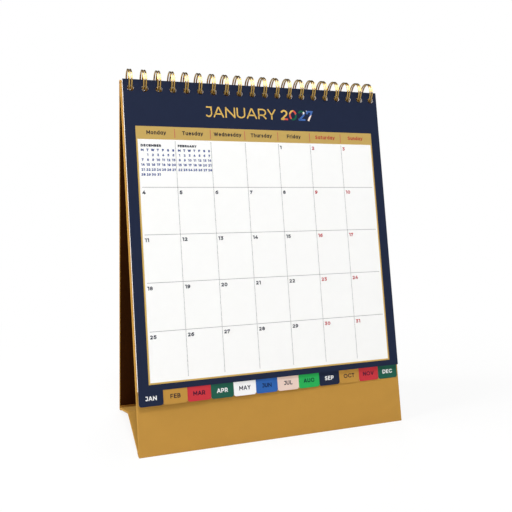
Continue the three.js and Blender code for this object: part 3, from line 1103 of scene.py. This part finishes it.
def wire_point(x, turn):
    """A point of the wire: turn is measured from straight down the front panel, round by the back."""
    near_bar = smooth_step(1 - turn / SEAM_SPREAD)
    near_tip = smooth_step(1 - (2 * math.pi - turn) / SEAM_SPREAD)
    radius = RING_RADIUS + SEAM_STEP * (near_bar - near_tip)
    return (x, radius * math.sin(turn), -radius * math.cos(turn))


def wire_path():
    points = []
    bar_radius, tip_radius = RING_RADIUS + SEAM_STEP, RING_RADIUS - SEAM_STEP
    half = TWIN_SPACING / 2
    start, stop = SEAM_BEND / bar_radius, 2 * math.pi - half / tip_radius
    bends = [step / BEND_STEPS * math.pi / 2 for step in range(BEND_STEPS)]
    into_leg = [(half + SEAM_BEND * (1 - math.sin(bend)), start * (1 - math.cos(bend))) for bend in bends]
    for index, x in enumerate(LOOPS_X):
        if index > 0:
            points += [wire_point(x - along, turn) for along, turn in into_leg]
        turns = [start + (stop - start) * step / LEG_STEPS for step in range(LEG_STEPS + 1)]
        points += [wire_point(x - half, turn) for turn in turns]
        for step in range(1, TIP_STEPS):
            bend = step / TIP_STEPS * math.pi
            points.append(wire_point(x - half * math.cos(bend), stop + half / tip_radius * math.sin(bend)))
        points += [wire_point(x + half, turn) for turn in reversed(turns)]
        if index < LOOP_COUNT - 1:
            points += [wire_point(x + along, turn) for along, turn in reversed(into_leg)]
    return points


def binding_wire():
    curve = bpy.data.curves.new("wire_path", "CURVE")
    curve.dimensions = "3D"
    curve.bevel_depth = WIRE_DIAMETER / 2
    curve.bevel_resolution = 4
    curve.use_fill_caps = True
    points = wire_path()
    spline = curve.splines.new("POLY")
    spline.points.add(len(points) - 1)
    for target, point in zip(spline.points, points):
        target.co = (*point, 1)
    holder = bpy.data.objects.new("wire_path", curve)
    bpy.context.collection.objects.link(holder)
    mesh = baked(holder)
    bpy.data.objects.remove(holder)
    drawing = bmesh.new()
    drawing.from_mesh(mesh)
    bmesh.ops.remove_doubles(drawing, verts=drawing.verts, dist=1e-6)
    for face in drawing.faces:
        face.smooth = True
    return piece("twin_loop_binding", drawing, [wire_gold], panel_place(FRONT), "front_panel",
                 ["twin_loop_wire"])


wire = binding_wire()
print("wire faces:", len(wire.data.polygons))

# %% [markdown]
# ## Floor and surroundings
#
# The calendar stands on a pale floor. Near the object the floor shows its own lit colour, and so the
# object's shadow, and further out it fades into the white of the surroundings, so that no horizon shows.
# Only rays from the camera and from mirror-like surfaces see that white: the light on the object comes
# from the lamps and from a soft sky.

# %% Floor
FLOOR_SIZE = 6
FADE_START = 0.08
FADE_END = 0.40
FLOOR_WHITE = 0.84


def is_ray(tree, *kinds):
    """1 for rays of any of those kinds, 0 for the rest."""
    path = add_node(tree, "ShaderNodeLightPath")
    found = path.outputs[f"Is {kinds[0]} Ray"]
    for kind in kinds[1:]:
        found = add_node(tree, "ShaderNodeMath", {"operation": "MAXIMUM"}, {
            0: found, 1: path.outputs[f"Is {kind} Ray"],
        }).outputs["Value"]
    return found


def floor_material():
    material, tree = new_material("pale_floor")
    place = add_node(tree, "ShaderNodeTexCoord").outputs["Object"]
    distance = add_node(tree, "ShaderNodeVectorMath", {"operation": "LENGTH"}, {0: place})
    fade = add_node(tree, "ShaderNodeMapRange", {"interpolation_type": "SMOOTHSTEP"}, {
        "Value": distance.outputs["Value"], "From Min": FADE_START, "From Max": FADE_END,
        "To Min": FLOOR_WHITE, "To Max": 1,
    })
    share = add_node(tree, "ShaderNodeMath", {"operation": "MULTIPLY"}, {
        0: fade.outputs["Result"], 1: is_ray(tree, "Camera", "Glossy", "Transmission"),
    })
    lit = add_node(tree, "ShaderNodeBsdfDiffuse", inputs={"Color": linear("#EFEFEE")})
    white = add_node(tree, "ShaderNodeEmission", inputs={"Color": (1, 1, 1, 1), "Strength": 1})
    mixed = add_node(tree, "ShaderNodeMixShader", inputs={
        "Fac": share.outputs["Value"], 1: lit.outputs["BSDF"], 2: white.outputs["Emission"],
    })
    finish_material(tree, mixed.outputs["Shader"])
    return material


floor_drawing = bmesh.new()
bmesh.ops.create_grid(floor_drawing, x_segments=1, y_segments=1, size=FLOOR_SIZE / 2)
floor = piece("floor", floor_drawing, [floor_material()])
print("floor:", FLOOR_SIZE, "m wide")

# %% [markdown]
# ## Light
#
# Soft boxes light the stand, as in a small studio. The key and the one above it stand in front, and give
# the tabs their short shadow on the stand. One at the left lights the edges of the boards and the inside
# of the base, the fill keeps the right side open, and one behind, which the wire doesn't mirror, lights
# the back panel.
# The wire shows what it mirrors, so it gets two things of its own. The sky that it mirrors is white at the
# horizon and dark overhead, which makes the dark arcs of the rings. A long strip lamp gives the front of
# each ring its pale stretch, and light linking keeps that lamp off the cards.

# %% World and lamps
SKY_STRENGTH = 0.3
SKY_FADE_HEIGHT = 0.2
OVERHEAD_STRENGTH = 0.04
LIT_POINT = Vector((0, 0, 0.1))
WIRE_AXIS = Vector((0, 0, AXIS_HEIGHT))


def surroundings():
    world = bpy.data.worlds.new("studio")
    bpy.context.scene.world = world
    world.use_nodes = True
    tree = world.node_tree
    tree.nodes.clear()
    direction = add_node(tree, "ShaderNodeTexCoord").outputs["Generated"]
    height = add_node(tree, "ShaderNodeSeparateXYZ", inputs={"Vector": direction}).outputs["Z"]
    above = add_node(tree, "ShaderNodeMapRange", {"interpolation_type": "SMOOTHSTEP"}, {
        "Value": height, "From Min": 0, "From Max": SKY_FADE_HEIGHT, "To Min": 1,
        "To Max": OVERHEAD_STRENGTH,
    })
    level = add_node(tree, "ShaderNodeMix", {"data_type": "FLOAT"}, {
        "Factor": is_ray(tree, "Glossy"), "A": SKY_STRENGTH, "B": above.outputs["Result"],
    })
    strength = add_node(tree, "ShaderNodeMix", {"data_type": "FLOAT"}, {
        "Factor": is_ray(tree, "Camera", "Transmission"), "A": level.outputs["Result"], "B": 1,
    })
    light = add_node(tree, "ShaderNodeBackground", inputs={
        "Color": (1, 1, 1, 1), "Strength": strength.outputs["Result"],
    })
    add_node(tree, "ShaderNodeOutputWorld", inputs={"Surface": light.outputs["Background"]})


def lamp(name, place, width, height, power, target=LIT_POINT):
    """A soft box that faces its target."""
    data = bpy.data.lights.new(name, "AREA")
    data.shape = "RECTANGLE"
    data.size = width
    data.size_y = height
    data.energy = power
    made = bpy.data.objects.new(name, data)
    bpy.context.collection.objects.link(made)
    made.location = place
    made.rotation_euler = (target - Vector(place)).to_track_quat("-Z", "Y").to_euler()
    return made


surroundings()
lamp("key", (-0.3, -1.0, 0.95), 0.5, 0.7, 2.1)
lamp("fill", (1.2, -0.5, 0.4), 0.8, 0.8, 2.1)
lamp("left", (-1.0, 0.0, 0.85), 0.5, 0.5, 11)
lamp("top", (-0.1, -0.55, 1.1), 0.2, 0.2, 5)
behind = lamp("behind", (0.4, 1.1, 0.7), 0.6, 0.6, 4.5)
behind.visible_glossy = False
strip = lamp("strip", (0, -0.37, 0.69), 1.4, 0.62, 24, target=WIRE_AXIS)
strip.visible_camera = False
strip.light_linking.receiver_collection = bpy.data.collections.new("lit_by_strip")
strip.light_linking.receiver_collection.objects.link(wire)

bpy.context.scene.view_settings.view_transform = "Standard"

# %% [markdown]
# ## Finish
#

# %% Finish
import json
